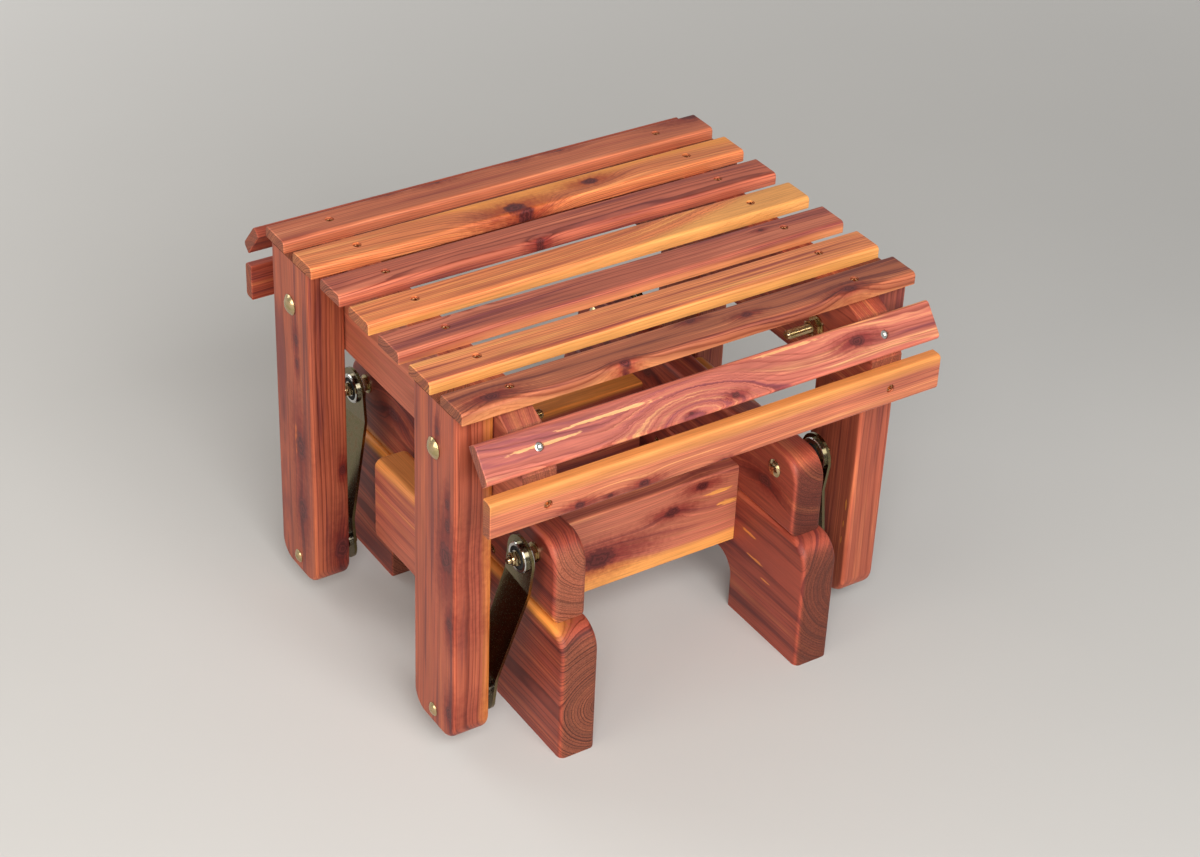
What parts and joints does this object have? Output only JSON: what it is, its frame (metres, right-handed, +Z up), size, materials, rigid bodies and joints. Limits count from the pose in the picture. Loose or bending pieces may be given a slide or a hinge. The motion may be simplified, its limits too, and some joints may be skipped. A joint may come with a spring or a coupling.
{
  "type": "glider ottoman",
  "caption": "Solid cedar footstool with a slatted seat on legs that hang from a low base by bent steel swing arms and glide to and fro.",
  "frame": {"origin": "on the floor, under the middle of the seat", "axes": "+X along the slats to the right of someone facing the front, +Z up, the front faces -Y, and the seat glides along Y"},
  "size_m": [0.49, 0.46, 0.389],
  "materials": {
    "cedar_red": "satin oiled red cedar",
    "cedar_orange": "satin oiled cedar with pale sapwood",
    "cedar_pink": "satin oiled pink cedar",
    "cedar_dark": "satin oiled dark red cedar",
    "zinc_yellow": "yellow zinc plated steel",
    "arm_steel": "yellow zinc plated strap",
    "bearing_chrome": "bright turned steel",
    "seal_rubber": "black moulded seal"
  },
  "bodies": {
    "base": {"base_lower_board_left": "cedar_dark", "base_lower_board_right": "cedar_dark", "base_upper_board_left": "cedar_dark", "base_upper_board_right": "cedar_dark", "bearing_inner_rings": "bearing_chrome", "front_stretcher": "cedar_pink", "rear_stretcher": "cedar_dark", "side_block_left": "cedar_pink", "side_block_right": "cedar_pink", "side_block_screws": "zinc_yellow", "stretcher_screws": "zinc_yellow", "top_pivot_bolts": "zinc_yellow", "top_pivot_lock_nuts": "zinc_yellow", "top_pivot_spacer_nuts": "zinc_yellow", "top_pivot_thrust_washers": "zinc_yellow", "top_pivot_washers": "zinc_yellow"},
    "seat": {"apron_slat_front": "cedar_orange", "apron_slat_rear": "cedar_dark", "bevel_slat_front": "cedar_pink", "bevel_slat_rear": "cedar_red", "leg_bolt_nuts": "zinc_yellow", "leg_bolt_washers": "zinc_yellow", "leg_bolts": "zinc_yellow", "leg_front_left": "cedar_red", "leg_front_right": "cedar_red", "leg_rear_left": "cedar_red", "leg_rear_right": "cedar_red", "lower_pivot_bolts": "zinc_yellow", "lower_pivot_nuts": "zinc_yellow", "lower_pivot_spacers": "bearing_chrome", "lower_pivot_washers": "zinc_yellow", "seat_rail_left": "cedar_red", "seat_rail_right": "cedar_red", "slat_screws": "zinc_yellow", "top_slat_1": "cedar_red", "top_slat_2": "cedar_orange", "top_slat_3": "cedar_red", "top_slat_4": "cedar_orange", "top_slat_5": "cedar_pink", "top_slat_6": "cedar_orange", "top_slat_7": "cedar_red"},
    "arm_front_left": {"bearing_outer_ring_front_left": "bearing_chrome", "bearing_seals_front_left": "seal_rubber", "swing_arm_front_left": "arm_steel"},
    "arm_front_right": {"bearing_outer_ring_front_right": "bearing_chrome", "bearing_seals_front_right": "seal_rubber", "swing_arm_front_right": "arm_steel"},
    "arm_rear_left": {"bearing_outer_ring_rear_left": "bearing_chrome", "bearing_seals_rear_left": "seal_rubber", "swing_arm_rear_left": "arm_steel"},
    "arm_rear_right": {"bearing_outer_ring_rear_right": "bearing_chrome", "bearing_seals_rear_right": "seal_rubber", "swing_arm_rear_right": "arm_steel"}
  },
  "joints": [
    {"name": "swing_front_left", "type": "hinge", "parent": "base", "child": "arm_front_left", "pos_m": [-0.1638, -0.158, 0.199], "axis": [1, 0, 0], "range_deg": [-23.5, 23.5]},
    {"name": "swing_front_right", "type": "hinge", "parent": "base", "child": "arm_front_right", "pos_m": [0.1638, -0.158, 0.199], "axis": [1, 0, 0], "range_deg": [-23.5, 23.5]},
    {"name": "swing_rear_left", "type": "hinge", "parent": "base", "child": "arm_rear_left", "pos_m": [-0.1638, 0.158, 0.199], "axis": [1, 0, 0], "range_deg": [-23.5, 23.5]},
    {"name": "swing_rear_right", "type": "hinge", "parent": "base", "child": "arm_rear_right", "pos_m": [0.1638, 0.158, 0.199], "axis": [1, 0, 0], "range_deg": [-23.5, 23.5]},
    {"name": "seat_level", "type": "hinge", "parent": "arm_front_left", "child": "seat", "pos_m": [-0.18625, -0.135, 0.03763], "axis": [1, 0, 0], "range_deg": [-27.6, 27.6]}
  ],
  "couplings": [
    {"joint": "swing_front_right", "follows": "swing_front_left", "ratio": 1},
    {"joint": "swing_rear_left", "follows": "swing_front_left", "ratio": 1},
    {"joint": "swing_rear_right", "follows": "swing_front_left", "ratio": 1},
    {"joint": "seat_level", "follows": "swing_front_left", "ratio": -1.1704}
  ]
}
